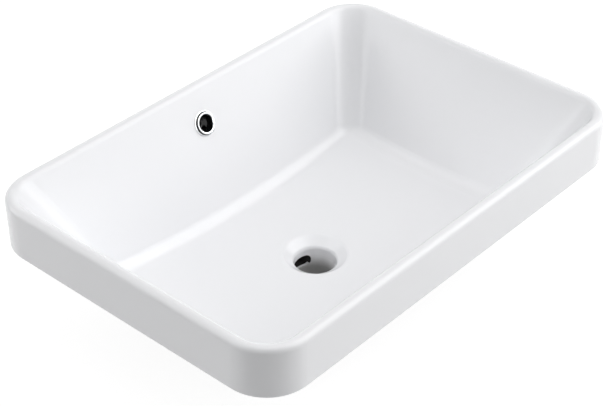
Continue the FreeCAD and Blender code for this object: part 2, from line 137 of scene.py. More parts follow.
def new_material(name):
    """An empty material, its tree, and the place of a point in its piece's own coordinates."""
    material = bpy.data.materials.new(name)
    material.use_nodes = True
    tree = material.node_tree
    tree.nodes.clear()
    return material, tree, add_node(tree, "ShaderNodeTexCoord").outputs["Object"]


def finish_material(material, shader):
    """Close a material with its shader as the surface."""
    add_node(material.node_tree, "ShaderNodeOutputMaterial", {"Surface": shader.outputs["BSDF"]})
    print(material.name, "has", len(material.node_tree.nodes), "nodes")


# %% [markdown]
# ## The studio
#
# A white floor under the basin, a large soft lamp at the front right and a weaker one at the back left.
# The band's front face and the bowl's back wall face the first, so they are the palest; the left end
# and the right inner wall face the second and go grey, and the near corner faces neither and is
# darkest. A soft lamp overhead and four low ones lift the shadows. The sky only shows, white, to the
# camera and in reflections, and gives no light.

# %% Rays that see the background
def background_rays(tree):
    """One for the rays that look at the background: from the camera, off a mirror and through glass."""
    rays = add_node(tree, "ShaderNodeLightPath").outputs
    mirrored = add_node(tree, "ShaderNodeMath", {0: rays["Is Camera Ray"], 1: rays["Is Glossy Ray"]},
                        operation="MAXIMUM")
    return add_node(tree, "ShaderNodeMath", {0: mirrored.outputs[0], 1: rays["Is Transmission Ray"]},
                    operation="MAXIMUM").outputs[0]


# %% Floor
FLOOR_SIDE = 24.0
floor_mesh = bpy.data.meshes.new("floor")
half_side = FLOOR_SIDE / 2
floor_mesh.from_pydata([(-half_side, -half_side, 0), (half_side, -half_side, 0),
                        (half_side, half_side, 0), (-half_side, half_side, 0)], [], [(0, 1, 2, 3)])
floor = bpy.data.objects.new("floor", floor_mesh)
scene.collection.objects.link(floor)

paper, paper_tree, paper_place = new_material("matt_white_paper")
paper_shader = add_node(paper_tree, "ShaderNodeBsdfPrincipled", {
    "Base Color": linear("#E6E6E6"),
    "Roughness": 0.9,
    "Specular IOR Level": 0.0,
})
# The camera and the reflections see the sheet as an even white that keeps a faint shadow of the basin.
# Further out the lamps give it less light, so it glows a little more there and meets the sky without
# a line.
NEAR_GLOW, NEAR_EDGE = 0.90, 0.8
FAR_GLOW, FAR_EDGE = 1.0, 4.0
paper_distance = add_node(paper_tree, "ShaderNodeVectorMath", {0: paper_place}, operation="LENGTH")
paper_glow = add_node(paper_tree, "ShaderNodeMapRange", {
    "Value": paper_distance.outputs["Value"], "From Min": NEAR_EDGE, "From Max": FAR_EDGE,
    "To Min": NEAR_GLOW, "To Max": FAR_GLOW})
paper_white = add_node(paper_tree, "ShaderNodeEmission", {
    "Color": linear("#FFFFFF"), "Strength": paper_glow.outputs[0]})
paper_shadow = add_node(paper_tree, "ShaderNodeBsdfDiffuse", {"Color": linear("#8A8A8A")})
paper_shown = add_node(paper_tree, "ShaderNodeAddShader", {
    0: paper_white.outputs[0], 1: paper_shadow.outputs[0]})
paper_mix = add_node(paper_tree, "ShaderNodeMixShader", {
    "Fac": background_rays(paper_tree), 1: paper_shader.outputs[0], 2: paper_shown.outputs[0]})
add_node(paper_tree, "ShaderNodeOutputMaterial", {"Surface": paper_mix.outputs[0]})
floor.data.materials.append(paper)
print("floor", FLOOR_SIDE, "m")

# %% Lamps and sky
LAMP_REACH = 3.0
LAMP_AIM = Vector((0, 0, 0.1))
LAMPS = {
    # name: (degrees clockwise from the back, degrees above the floor, metres across, watts)
    "front_right_softbox": (136, 40, 3.3, 83.0),
    "back_left_softbox": (314, 36, 3.0, 45.0),
    "overhead_softbox": (0, 89.9, 3.0, 23.0),
    "low_back_left_softbox": (320, 8, 1.2, 6.5),
    "low_front_softbox": (165, 13, 0.8, 3.5),
    "low_front_right_softbox": (130, 12, 2.0, 7.0),
    "low_back_right_softbox": (45, 15, 2.0, 4.0),
}


def add_lamp(name, heading, height, side, watts):
    """A square soft lamp that looks at the middle of the basin."""
    turn, rise = math.radians(heading), math.radians(height)
    direction = Vector((math.cos(rise) * math.sin(turn), math.cos(rise) * math.cos(turn), math.sin(rise)))
    light = bpy.data.lights.new(name, "AREA")
    light.shape = "SQUARE"
    light.size = side
    light.energy = watts
    lamp = bpy.data.objects.new(name, light)
    lamp.location = LAMP_AIM + direction * LAMP_REACH
    lamp.rotation_euler = (-direction).to_track_quat("-Z", "Y").to_euler()
    scene.collection.objects.link(lamp)


for lamp_name, lamp_facts in LAMPS.items():
    add_lamp(lamp_name, *lamp_facts)

world = bpy.data.worlds.new("studio")
scene.world = world
world.use_nodes = True
sky_tree = world.node_tree
sky_tree.nodes.clear()
sky = add_node(sky_tree, "ShaderNodeBackground", {
    "Color": linear("#FFFFFF"), "Strength": background_rays(sky_tree)})
add_node(sky_tree, "ShaderNodeOutputWorld", {"Surface": sky.outputs[0]})
scene.view_settings.view_transform = "Standard"
print(len(LAMPS), "lamps,", sum(lamp_facts[-1] for lamp_facts in LAMPS.values()), "watts together")

# %% [markdown]
# ## The glazed china
#
# The basin is vitreous china: clay cast in a plaster mould, sprayed with a white zirconium glaze and
# fired once. The glaze gives a thick glassy skin that is very even, with a faint ripple that only its
# reflections show. The underside, the passage and the foot get little glaze or none, so there the pale
# grey clay shows, dull and a little gritty. In the waste bore the sprayed glaze thins out with depth,
# and the bore is darkened further towards its bottom: both grades also paint the shade deep in the
# bore. The overflow passage is painted near black, as painted shade for its dark inside. All of it is
# one material, and where each finish and each painted shade lies is worked out from the object's own
# coordinates and from the way that a face looks, so it needs no image mask and holds on any view.

# %% Places on the casting
WALL_LEAN = math.radians(26)            # back wall, from upright
WALL_TOP = 178.5                        # middle of the basin to the back wall's face, at the crest
HOLLOW_CORNERS = (227, 142)             # middle of the basin to the centres of the band's hollow corners
HOLLOW_ROUND = 40                       # radius of those corners
HOLLOW_TOP = CREST - 21.5               # ceiling of the hollow in the band, and a little more
FAR = 1000                              # further than any point of the basin


def casting_places(tree, place):
    """Sockets in millimetres that say where a point of the casting lies, and which way its face looks."""
    scaled = add_node(tree, "ShaderNodeVectorMath", {0: place, "Scale": 1 / MM}, operation="SCALE")
    to_mm = scaled.outputs[0]
    across, deep, up = add_node(tree, "ShaderNodeSeparateXYZ", {0: to_mm}).outputs
    level = add_node(tree, "ShaderNodeCombineXYZ", {"X": across, "Y": deep})
    from_axis = add_node(tree, "ShaderNodeVectorMath", {0: level.outputs[0]}, operation="LENGTH")
    mirrored = add_node(tree, "ShaderNodeVectorMath", {0: to_mm}, operation="ABSOLUTE").outputs[0]
    past_corner = add_node(tree, "ShaderNodeVectorMath", {0: mirrored, 1: (*HOLLOW_CORNERS, FAR)},
                           operation="SUBTRACT")
    kept_corner = add_node(tree, "ShaderNodeVectorMath", {0: past_corner.outputs[0], 1: (0, 0, 0)},
                           operation="MAXIMUM")
    from_corner = add_node(tree, "ShaderNodeVectorMath", {0: kept_corner.outputs[0]}, operation="LENGTH")
    square_to_wall = Vector((0, math.cos(WALL_LEAN), -math.sin(WALL_LEAN)))
    wall_face = square_to_wall.dot(Vector((0, WALL_TOP, CREST)))
    backwards = add_node(tree, "ShaderNodeVectorMath", {0: to_mm, 1: square_to_wall},
                         operation="DOT_PRODUCT")
    behind_wall = add_node(tree, "ShaderNodeMath", {0: backwards.outputs["Value"], 1: wall_face},
                           operation="SUBTRACT")
    facing = add_node(tree, "ShaderNodeNewGeometry")
    return {
        "up": up,
        "deep": deep,
        "from_middle": add_node(tree, "ShaderNodeSeparateXYZ", {0: mirrored}).outputs[0],
        "from_axis": from_axis.outputs["Value"],
        "from_corner": from_corner.outputs["Value"],
        "behind_wall": behind_wall.outputs[0],
        "rise": add_node(tree, "ShaderNodeSeparateXYZ", {0: facing.outputs["True Normal"]}).outputs[2],
    }


# %% Masks
def within(tree, places, limits):
    """One where each named place lies between its low and high limit, and nought elsewhere."""
    mask = 1.0
    for name, (low, high) in limits.items():
        above = add_node(tree, "ShaderNodeMath", {0: places[name], 1: low}, operation="GREATER_THAN")
        below = add_node(tree, "ShaderNodeMath", {0: places[name], 1: high}, operation="LESS_THAN")
        for test in (above, below):
            both = add_node(tree, "ShaderNodeMath", {0: test.outputs[0], 1: mask}, operation="MULTIPLY")
            mask = both.outputs[0]
    return mask


def strongest(tree, masks):
    """The highest of several masks at each point."""
    highest = masks[0]
    for mask in masks[1:]:
        highest = add_node(tree, "ShaderNodeMath", {0: highest, 1: mask}, operation="MAXIMUM").outputs[0]
    return highest


# %% Where the clay is bare, and where shade is painted on it
BORE_FACE = 23.3                        # axis to the bore's face, and a little more
RUN_START = 26.5                        # axis to where the passage's mouth ends and its run starts
PASSAGE_WIDTH = (-1, 14.3)              # on both sides of the middle, and a little more
PASSAGE_RUN = (13.5, 28.5)              # floor and ceiling of its run under the bowl
PASSAGE_DEEP = (17, 118)                # how far back that run lies

# Where a lower limit doesn't matter, it is -1, or -2 for the rise of a face: -1 looks down and 1 up.
BARE_REGIONS = {
    "underside": {"rise": (-2, 0.3), "from_corner": (-1, HOLLOW_ROUND), "from_axis": (24, FAR),
                  "up": (-1, HOLLOW_TOP)},
    "foot": {"rise": (-2, -0.7), "up": (SEAT - 1, SEAT + 1)},
}
# Painted shade: the inside of the overflow passage, bare clay, is coloured near black for the shade in it.
PAINTED_SHADE_REGIONS = {
    "mouth in the bore": {"from_middle": PASSAGE_WIDTH, "deep": PASSAGE_DEEP, "up": PASSAGE_RUN,
                          "from_axis": (BORE_FACE, RUN_START), "rise": (-2, 0.6)},
    "run under the bowl": {"from_middle": PASSAGE_WIDTH, "deep": PASSAGE_DEEP, "up": PASSAGE_RUN,
                           "from_axis": (RUN_START, FAR)},
    "drop behind the wall": {"from_middle": PASSAGE_WIDTH, "behind_wall": (6.7, 16.4), "up": (14, 146)},
}
BORE = {"from_axis": (-1, 23.6), "up": (-1, 35.5)}
# Lower in the bore the glaze thins to bare grey clay, and below that the clay is darkened further. The
# thinning is real glaze, and both grades are also set to paint the shade deep in the bore.
GLAZE_THINS = (27, 12)                  # heights in the bore at which the glaze starts to thin, and is gone
LIGHT_FADES = (24, 8)                   # and at which the light starts to fade, and fades no further
DEEPEST_GLOOM = 0.28


def bare_clay(tree, place):
    """How bare the clay is, from 0 to 1, and the painted shade: the underside and foot, the bore and the
    passage.
    """
    places = casting_places(tree, place)
    in_bore = within(tree, places, BORE)
    thinning_and_painted_shade, gloom = [
        add_node(tree, "ShaderNodeMapRange", {
            "Value": places["up"], "From Min": start, "From Max": end, "To Min": 0.0, "To Max": most})
        for (start, end), most in ((GLAZE_THINS, 1.0), (LIGHT_FADES, DEEPEST_GLOOM))]
    bore, bore_painted_shade = [
        add_node(tree, "ShaderNodeMath", {0: in_bore, 1: depth.outputs[0]}, operation="MULTIPLY").outputs[0]
        for depth in (thinning_and_painted_shade, gloom)]
    painted_shade = strongest(tree, [bore_painted_shade] + [within(tree, places, limits) for limits in PAINTED_SHADE_REGIONS.values()])
    bare_parts = [within(tree, places, limits) for limits in BARE_REGIONS.values()]
    return strongest(tree, [painted_shade, bore] + bare_parts), painted_shade


print(len(BARE_REGIONS) + len(PAINTED_SHADE_REGIONS) + 1, "regions of the casting without their full glaze")

# %% Glazed vitreous china
china, china_tree, china_place = new_material("glazed_vitreous_china")
bare, painted_shade_mask = bare_clay(china_tree, china_place)

# The kiln leaves the glaze a shade warmer and cooler over a hand's width, and never quite equally smooth.
kiln_tone = add_node(china_tree, "ShaderNodeTexNoise", {
    "Vector": china_place, "Scale": 1 / (110 * MM), "Detail": 2.0})
glaze_colour = add_node(china_tree, "ShaderNodeMix", {
    "Factor": kiln_tone.outputs["Fac"], 6: linear("#F2F3F5"), 7: linear("#F4F4F6")}, data_type="RGBA")
glaze_roughness = add_node(china_tree, "ShaderNodeMapRange", {
    "Value": kiln_tone.outputs["Fac"], "From Min": 0.3, "From Max": 0.7, "To Min": 0.19, "To Max": 0.24})

# Clay and its grog show as fine grey grains, drawn at 1.2 mm, coarser than the real 0.2 mm, to show.
grog = add_node(china_tree, "ShaderNodeTexNoise", {
    "Vector": china_place, "Scale": 1 / (1.2 * MM), "Detail": 3.0})
clay_colour = add_node(china_tree, "ShaderNodeMix", {
    "Factor": grog.outputs["Fac"], 6: linear("#A3A3A3"), 7: linear("#C2C1BF")}, data_type="RGBA")
# Painted shade: the passage and the bottom of the bore are mixed towards near black.
clay_with_painted_shade = add_node(china_tree, "ShaderNodeMix", {
    "Factor": painted_shade_mask, 6: clay_colour.outputs[2], 7: linear("#2E2D2D")}, data_type="RGBA")

# The ripple of the glaze is 9 mm from crest to crest and a few hundredths of a millimetre deep.
ripple = add_node(china_tree, "ShaderNodeTexNoise", {
    "Vector": china_place, "Scale": 1 / (9 * MM), "Detail": 1.0})
ripple_bump = add_node(china_tree, "ShaderNodeBump", {
    "Height": ripple.outputs["Fac"], "Strength": 0.35, "Distance": 0.03 * MM})
grain_depth = add_node(china_tree, "ShaderNodeMath", {0: grog.outputs["Fac"], 1: bare},
                       operation="MULTIPLY")
china_bump = add_node(china_tree, "ShaderNodeBump", {
    "Height": grain_depth.outputs[0], "Strength": 0.6, "Distance": 0.15 * MM,
    "Normal": ripple_bump.outputs["Normal"]})

china_colour = add_node(china_tree, "ShaderNodeMix", {
    "Factor": bare, 6: glaze_colour.outputs[2], 7: clay_with_painted_shade.outputs[2]}, data_type="RGBA")
china_roughness = add_node(china_tree, "ShaderNodeMix", {
    "Factor": bare, 2: glaze_roughness.outputs[0], 3: 0.85}, data_type="FLOAT")
china_shader = add_node(china_tree, "ShaderNodeBsdfPrincipled", {
    "Base Color": china_colour.outputs[2],
    "Roughness": china_roughness.outputs[0],
    "IOR": 1.52,
    "Normal": china_bump.outputs["Normal"],
})
finish_material(china, china_shader)
nodes["ceramic_basin"].data.materials.clear()
nodes["ceramic_basin"].data.materials.append(china)

# %% [markdown]
# ## Metals
#
# The overflow ring is ABS with bright chrome plate: a mirror with a slightly blue tint, and only the
# haze of wiping on it. The fixings are cold-formed steel with a thin zinc plate, which is paler and
# duller, with a faint bluish and straw cloudiness from its passivation and fine lines from rolling.

# %% Chrome plate
chrome, chrome_tree, chrome_place = new_material("chrome_plated_abs")
wiping = add_node(chrome_tree, "ShaderNodeTexNoise", {
    "Vector": chrome_place, "Scale": 1 / (5 * MM), "Detail": 4.0})
chrome_colour = add_node(chrome_tree, "ShaderNodeMix", {
    "Factor": wiping.outputs["Fac"], 6: linear("#DDE0E3"), 7: linear("#E9EAEB")}, data_type="RGBA")
chrome_roughness = add_node(chrome_tree, "ShaderNodeMapRange", {
    "Value": wiping.outputs["Fac"], "From Min": 0.35, "From Max": 0.7, "To Min": 0.04, "To Max": 0.12})
chrome_shader = add_node(chrome_tree, "ShaderNodeBsdfPrincipled", {
    "Base Color": chrome_colour.outputs[2], "Metallic": 1.0, "Roughness": chrome_roughness.outputs[0]})
finish_material(chrome, chrome_shader)

# %% Zinc plate
zinc, zinc_tree, zinc_place = new_material("zinc_plated_steel")
passivation = add_node(zinc_tree, "ShaderNodeTexNoise", {
    "Vector": zinc_place, "Scale": 1 / (7 * MM), "Detail": 3.0, "Distortion": 0.6})
zinc_colour = add_node(zinc_tree, "ShaderNodeMix", {
    "Factor": passivation.outputs["Fac"], 6: linear("#AEB6BC"), 7: linear("#CBC8BB")}, data_type="RGBA")
rolled = add_node(zinc_tree, "ShaderNodeMapping", {"Vector": zinc_place, "Scale": (0.08, 1.0, 1.0)})
rolling = add_node(zinc_tree, "ShaderNodeTexNoise", {"Vector": rolled.outputs[0], "Scale": 1 / (0.4 * MM)})
zinc_roughness = add_node(zinc_tree, "ShaderNodeMapRange", {
    "Value": rolling.outputs["Fac"], "From Min": 0.3, "From Max": 0.7, "To Min": 0.24, "To Max": 0.38})
zinc_bump = add_node(zinc_tree, "ShaderNodeBump", {
    "Height": rolling.outputs["Fac"], "Strength": 0.4, "Distance": 0.02 * MM})
zinc_shader = add_node(zinc_tree, "ShaderNodeBsdfPrincipled", {
    "Base Color": zinc_colour.outputs[2], "Metallic": 1.0, "Roughness": zinc_roughness.outputs[0],
    "Normal": zinc_bump.outputs["Normal"]})
finish_material(zinc, zinc_shader)

# %% [markdown]
# ## Plastics, rubber and foam
#
# The sleeve behind the ring is black ABS, moulded with a fine spark texture. The plugs are pale grey
# polyamide, a little see-through, with the faint flow lines of the mould. The clamp pads are black EPDM
# rubber, matt with a bloom that greys it in patches. The strip under the band is grey closed-cell foam
# of polyethylene.

# %% Black ABS
abs_plastic, abs_tree, abs_place = new_material("moulded_black_abs")
spark = add_node(abs_tree, "ShaderNodeTexNoise", {
    "Vector": abs_place, "Scale": 1 / (0.35 * MM), "Detail": 2.0})
abs_colour = add_node(abs_tree, "ShaderNodeMix", {
    "Factor": spark.outputs["Fac"], 6: linear("#0C0D0E"), 7: linear("#1A1B1D")}, data_type="RGBA")
abs_roughness = add_node(abs_tree, "ShaderNodeMapRange", {
    "Value": spark.outputs["Fac"], "From Min": 0.3, "From Max": 0.7, "To Min": 0.14, "To Max": 0.26})
abs_bump = add_node(abs_tree, "ShaderNodeBump", {
    "Height": spark.outputs["Fac"], "Strength": 0.5, "Distance": 0.02 * MM})
abs_shader = add_node(abs_tree, "ShaderNodeBsdfPrincipled", {
    "Base Color": abs_colour.outputs[2], "Roughness": abs_roughness.outputs[0], "IOR": 1.53,
    "Normal": abs_bump.outputs["Normal"]})
finish_material(abs_plastic, abs_shader)

# %% Grey polyamide
polyamide, polyamide_tree, polyamide_place = new_material("moulded_grey_polyamide")
flow = add_node(polyamide_tree, "ShaderNodeTexNoise", {
    "Vector": polyamide_place, "Scale": 1 / (4 * MM), "Detail": 3.0, "Distortion": 1.2})
polyamide_colour = add_node(polyamide_tree, "ShaderNodeMix", {
    "Factor": flow.outputs["Fac"], 6: linear("#B4B6B6"), 7: linear("#C1C2C1")}, data_type="RGBA")
polyamide_roughness = add_node(polyamide_tree, "ShaderNodeMapRange", {
    "Value": flow.outputs["Fac"], "From Min": 0.3, "From Max": 0.7, "To Min": 0.36, "To Max": 0.48})
polyamide_bump = add_node(polyamide_tree, "ShaderNodeBump", {
    "Height": flow.outputs["Fac"], "Strength": 0.3, "Distance": 0.03 * MM})
polyamide_shader = add_node(polyamide_tree, "ShaderNodeBsdfPrincipled", {
    "Base Color": polyamide_colour.outputs[2], "Roughness": polyamide_roughness.outputs[0], "IOR": 1.53,
    "Subsurface Weight": 0.15, "Subsurface Scale": 1.5 * MM, "Normal": polyamide_bump.outputs["Normal"]})
finish_material(polyamide, polyamide_shader)

# %% Rubber
rubber, rubber_tree, rubber_place = new_material("moulded_epdm_rubber")
bloom = add_node(rubber_tree, "ShaderNodeTexNoise", {
    "Vector": rubber_place, "Scale": 1 / (6 * MM), "Detail": 5.0})
rubber_colour = add_node(rubber_tree, "ShaderNodeMix", {
    "Factor": bloom.outputs["Fac"], 6: linear("#151515"), 7: linear("#2E2D2C")}, data_type="RGBA")
rubber_skin = add_node(rubber_tree, "ShaderNodeTexNoise", {"Vector": rubber_place, "Scale": 1 / (0.3 * MM)})
rubber_bump = add_node(rubber_tree, "ShaderNodeBump", {
    "Height": rubber_skin.outputs["Fac"], "Strength": 0.5, "Distance": 0.03 * MM})
rubber_roughness = add_node(rubber_tree, "ShaderNodeMapRange", {
    "Value": bloom.outputs["Fac"], "From Min": 0.3, "From Max": 0.7, "To Min": 0.6, "To Max": 0.8})
rubber_shader = add_node(rubber_tree, "ShaderNodeBsdfPrincipled", {
    "Base Color": rubber_colour.outputs[2], "Roughness": rubber_roughness.outputs[0], "IOR": 1.5,
    "Normal": rubber_bump.outputs["Normal"]})
finish_material(rubber, rubber_shader)

# %% Foam
foam, foam_tree, foam_place = new_material("closed_cell_polyethylene_foam")
cells = add_node(foam_tree, "ShaderNodeTexVoronoi", {"Vector": foam_place, "Scale": 1 / (0.8 * MM)})
foam_colour = add_node(foam_tree, "ShaderNodeMix", {
    "Factor": cells.outputs["Distance"], 6: linear("#747779"), 7: linear("#626467")}, data_type="RGBA")
foam_bump = add_node(foam_tree, "ShaderNodeBump", {
    "Height": cells.outputs["Distance"], "Strength": 0.7, "Distance": 0.1 * MM})
foam_roughness = add_node(foam_tree, "ShaderNodeMapRange", {
    "Value": cells.outputs["Distance"], "From Min": 0.0, "From Max": 0.8, "To Min": 0.7, "To Max": 0.9})
foam_shader = add_node(foam_tree, "ShaderNodeBsdfPrincipled", {
    "Base Color": foam_colour.outputs[2], "Roughness": foam_roughness.outputs[0], "IOR": 1.5,
    "Normal": foam_bump.outputs["Normal"]})
finish_material(foam, foam_shader)

# %% [markdown]
# ## Shaping small pieces
#
# Nearly every fixing is turned, pressed or bent. So a few helpers make most of the shapes: an outline
# whose corners are rounded by true arcs, a lathe, an extruder, and the booleans and bevels that finish
# them. A finished piece keeps its object at the origin and its place in its mesh, as the construction
# model does.

# %% Outlines
ARC_STEPS = 5
LATHE_STEPS = 72
FULL_TURN = 2 * math.pi
SHARP_EDGE = math.radians(35)


def rounded_outline(corners):
    """The points of a closed outline whose corners (across, up, radius) are rounded by arcs."""
    points = []
    for k, (across, up, radius) in enumerate(corners):
        here = Vector((across, up))
        if not radius:
            points.append((across, up))
            continue
        before = (Vector(corners[k - 1][:2]) - here).normalized()
        after = (Vector(corners[(k + 1) % len(corners)][:2]) - here).normalized()
        half = before.angle(after) / 2
        centre = here + (before + after).normalized() * radius / math.sin(half)
        start = here + before * radius / math.tan(half) - centre
        end = here + after * radius / math.tan(half) - centre
        first = math.atan2(start.y, start.x)
        sweep = math.atan2(start.x * end.y - start.y * end.x, start.dot(end))
        for step in range(ARC_STEPS + 1):
            turn = first + sweep * step / ARC_STEPS
            points.append((centre.x + radius * math.cos(turn), centre.y + radius * math.sin(turn)))
    return points


def rectangle(left, low, right, high, radius=0):
    """The corners of a rectangle whose corners are rounded alike."""
    return [(left, low, radius), (right, low, radius), (right, high, radius), (left, high, radius)]


# %% Lathe and extruder
def new_piece(name, points, faces):
    """A mesh object from points in millimetres, with its doubles merged and its faces turned outwards."""
    shape = bmesh.new()
    corners = [shape.verts.new(Vector(point) * MM) for point in points]
    for face in faces:
        shape.faces.new([corners[k] for k in face])
    bmesh.ops.remove_doubles(shape, verts=shape.verts, dist=MM / 1000)
    bmesh.ops.dissolve_degenerate(shape, edges=shape.edges, dist=MM / 1000)
    bmesh.ops.recalc_face_normals(shape, faces=shape.faces)
    mesh = bpy.data.meshes.new(name)
    shape.to_mesh(mesh)
    shape.free()
    piece = bpy.data.objects.new(name, mesh)
    scene.collection.objects.link(piece)
    return piece


def turned(name, outline):
    """A closed outline of (radius, height) turned about the Z axis."""
    count = len(outline)
    points = []
    for step in range(LATHE_STEPS):
        turn = FULL_TURN * step / LATHE_STEPS
        points += [(radius * math.cos(turn), radius * math.sin(turn), height) for radius, height in outline]
    faces = []
    for step in range(LATHE_STEPS):
        here, there = step * count, (step + 1) % LATHE_STEPS * count
        for k in range(count):
            after = (k + 1) % count
            if outline[k][0] > 0 or outline[after][0] > 0:
                faces.append((here + k, there + k, there + after, here + after))
    return new_piece(name, points, faces)


def extruded(name, outline, low, high, along="Z"):
    """A closed outline extruded from low to high, up Z, or along Y from an outline of (X, Z)."""
    count = len(outline)
    if along == "Z":
        points = [(a, b, level) for level in (low, high) for a, b in outline]
    else:
        points = [(a, level, b) for level in (low, high) for a, b in outline]
    faces = [tuple(range(count)), tuple(range(count, 2 * count))]
    faces += [(k, (k + 1) % count, (k + 1) % count + count, k + count) for k in range(count)]
    return new_piece(name, points, faces)


# %% Tools that finish a piece
def apply_modifiers(piece):
    """Keep what the modifiers make as the piece's own mesh."""
    evaluated = piece.evaluated_get(bpy.context.evaluated_depsgraph_get())
    made = bpy.data.meshes.new_from_object(evaluated)
    piece.modifiers.clear()
    piece.data = made
    return piece


def trim(piece, tool, operation="DIFFERENCE"):
    """Cut a piece with a tool, or keep only what lies inside it, and throw the tool away."""
    cutter = piece.modifiers.new("trim", "BOOLEAN")
    cutter.operation = operation
    cutter.solver = "EXACT"
    cutter.object = tool
    apply_modifiers(piece)
    bpy.data.objects.remove(tool)
    return piece


def soften(piece, width):
    """Round the sharp edges, this many millimetres wide."""
    bevel = piece.modifiers.new("soften", "BEVEL")
    bevel.width = width * MM
    bevel.segments = 3
    bevel.limit_method = "ANGLE"
    bevel.angle_limit = SHARP_EDGE
    weld = piece.modifiers.new("weld", "WELD")
    weld.merge_threshold = MM / 100
    return apply_modifiers(piece)


def hand_over(piece, place, material, body, replaced):
    """Put a piece in its place and give it its finish, and let it stand for a construction piece."""
    piece.data.transform(place)
    piece.data.shade_smooth()
    piece.data.set_sharp_from_angle(angle=SHARP_EDGE)
    piece.data.materials.clear()
    piece.data.materials.append(material)
    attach(piece, body)
    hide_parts(replaced)
    print(piece.name, len(piece.data.polygons), "faces")


# %% [markdown]
# ## The overflow
#
# A ring with a raised bezel on a thin flange covers the edge of the overflow hole. It is moulded in
# black ABS. Only its face and the top of its flange are chromed: the back and foot of the flange, the
# bezel's outer flank and the opening stay black. The black of the flank and of the flange's foot is
# unplated ABS, and it also paints shade: from one side the flank shows as the dark crescent of shade
# round the bezel, and the foot as the contact shadow where the ring meets the wall. The spigot is
# gripped by a black sleeve in the china. The sleeve's closed end keeps hair out of the passage and a
# window lets the water out downwards; the mould's gate left a small ring on it. Ring and sleeve are
# turned shapes, so the lathe makes them from their outlines, square to the leaning wall. The sleeve's
# outline has the two barbs that hold it in the hole, and its slots and its window are cut out afterwards.

# %% Overflow ring
OVERFLOW_DEPTH = 37.5                   # crest to the middle of the hole
overflow_y = WALL_TOP - OVERFLOW_DEPTH * math.tan(WALL_LEAN)
overflow_place = (Matrix.Translation(Vector((0, overflow_y, CREST - OVERFLOW_DEPTH)) * MM)
                  @ Matrix.Rotation(math.pi / 2 - WALL_LEAN, 4, "X"))
# Radii of the ring.
OPENING, SPIGOT = 9.25, 10.3
FLANGE_SEAT, FLANGE = 14.0, 14.2
FLANK_FOOT, FLANK_TOP = 13.2, 12.0
# Heights over the wall's face, and the spigot's length behind it.
FLANGE_STEP, FLANGE_FACE = 0.35, 0.9
FLANK_RISE, BEZEL_RISE = 3.1, 3.3
SPIGOT_LENGTH = 8
MARGIN = 0.05                           # for telling one face from the next

bezel = turned("overflow_bezel", rounded_outline([
    (OPENING, -SPIGOT_LENGTH, 0.4),
    (SPIGOT, -SPIGOT_LENGTH, 0.5),
    (SPIGOT, 0, 0),
    (FLANGE_SEAT, 0, 0),
    (FLANGE_SEAT, FLANGE_STEP, 0),
    (FLANGE, FLANGE_STEP, 0),
    (FLANGE, FLANGE_FACE, 0.3),
    (FLANK_FOOT, FLANGE_FACE, 0),
    (FLANK_TOP, FLANK_RISE, 0),
    (11.8, BEZEL_RISE, 0.2),
    (10.1, BEZEL_RISE, 0.8),
    (OPENING, 1.3, 0.5),
]))


def black_or_painted_shade(face):
    """Whether a face stays black ABS: behind and at the foot of the flange, on the flank and in the
    opening; flank and foot are painted shade.
    """
    radius, height = face.center.xy.length / MM, face.center.z / MM
    # The black flank paints the crescent of shade on one side of the bezel, and the black foot of the
    # flange paints the contact shadow where the ring meets the wall.
    on_flank = (FLANK_TOP + MARGIN < radius < FLANK_FOOT - MARGIN
                and FLANGE_FACE + MARGIN < height < FLANK_RISE - MARGIN)
    in_opening = radius < OPENING + 0.25 and height < 1.2
    return height < 0.3 or on_flank or in_opening


black_and_painted_shade_faces = [face.index for face in bezel.data.polygons if black_or_painted_shade(face)]
hand_over(bezel, overflow_place, chrome, "overflow_ring", "overflow_ring")
bezel.data.materials.append(abs_plastic)
for index in black_and_painted_shade_faces:
    bezel.data.polygons[index].material_index = 1
print(len(black_and_painted_shade_faces), "of them left black")

# %% Overflow sleeve
SLEEVE_BORE = SPIGOT + 0.06             # radii again
SLEEVE_TUBE, SLEEVE_BARB = 11.5, 11.98
SLEEVE_END, SLEEVE_END_INSIDE = -14.2, -13.0
GATE_RING = -11.4                       # top of the small ring that the mould's gate left

sleeve = turned("overflow_sleeve_barbed", rounded_outline([
    (0, SLEEVE_END, 0),
    (6.5, SLEEVE_END, 3),
    (10.4, -10.5, 2),
    (11.2, -7, 0.5),
    (SLEEVE_BARB, -5.6, 0.1),
    (SLEEVE_BARB, -5.2, 0.1),
    (SLEEVE_TUBE, -5.0, 0.2),
    (SLEEVE_TUBE, -2.8, 0.2),
    (SLEEVE_BARB, -2.3, 0.2),
    (SLEEVE_BARB, 0, 0),
    (SLEEVE_BORE, 0, 0.2),
    (SLEEVE_BORE, -9, 0.5),
    (9.2, -10.2, 2),
    (5.9, SLEEVE_END_INSIDE, 2),
    (3.2, SLEEVE_END_INSIDE, 0.3),
    (2.9, GATE_RING, 0.3),
    (1.7, GATE_RING, 0.3),
    (1.5, -12.4, 0.2),
    (0, -12.4, 0),
]))
SLOT_MIDDLE, SLOT_HALF = 11.3, 1.5      # sleeve's axis to the cutter's middle, and half its depth
SLOT_LOW, SLOT_HIGH = -7.4, -2.33
for side in (-1, 1):
    middle = side * SLOT_MIDDLE
    slot_cutter = rectangle(middle - SLOT_HALF, SLOT_LOW, middle + SLOT_HALF, SLOT_HIGH, 0.3)
    trim(sleeve, extruded("slot_cutter", rounded_outline(slot_cutter), -1, 1, along="Y"))
window_cutter = rectangle(-7, -12.6, 7, -8.6, 1)
trim(sleeve, extruded("window_cutter", rounded_outline(window_cutter), -13, -4, along="Y"))
hand_over(sleeve, overflow_place, abs_plastic, "basin", "overflow_sleeve")

# %% [markdown]
# ## Geometry Nodes for what follows a rule
#
# A thread, a strip laid round an outline and a row of ribs all follow a rule with a few sizes. Each one
# is a Geometry Nodes tree with named inputs, so the rule is written once. A helper gives each tree its
# inputs, and a second one runs a tree on a piece and keeps the result as a plain mesh.

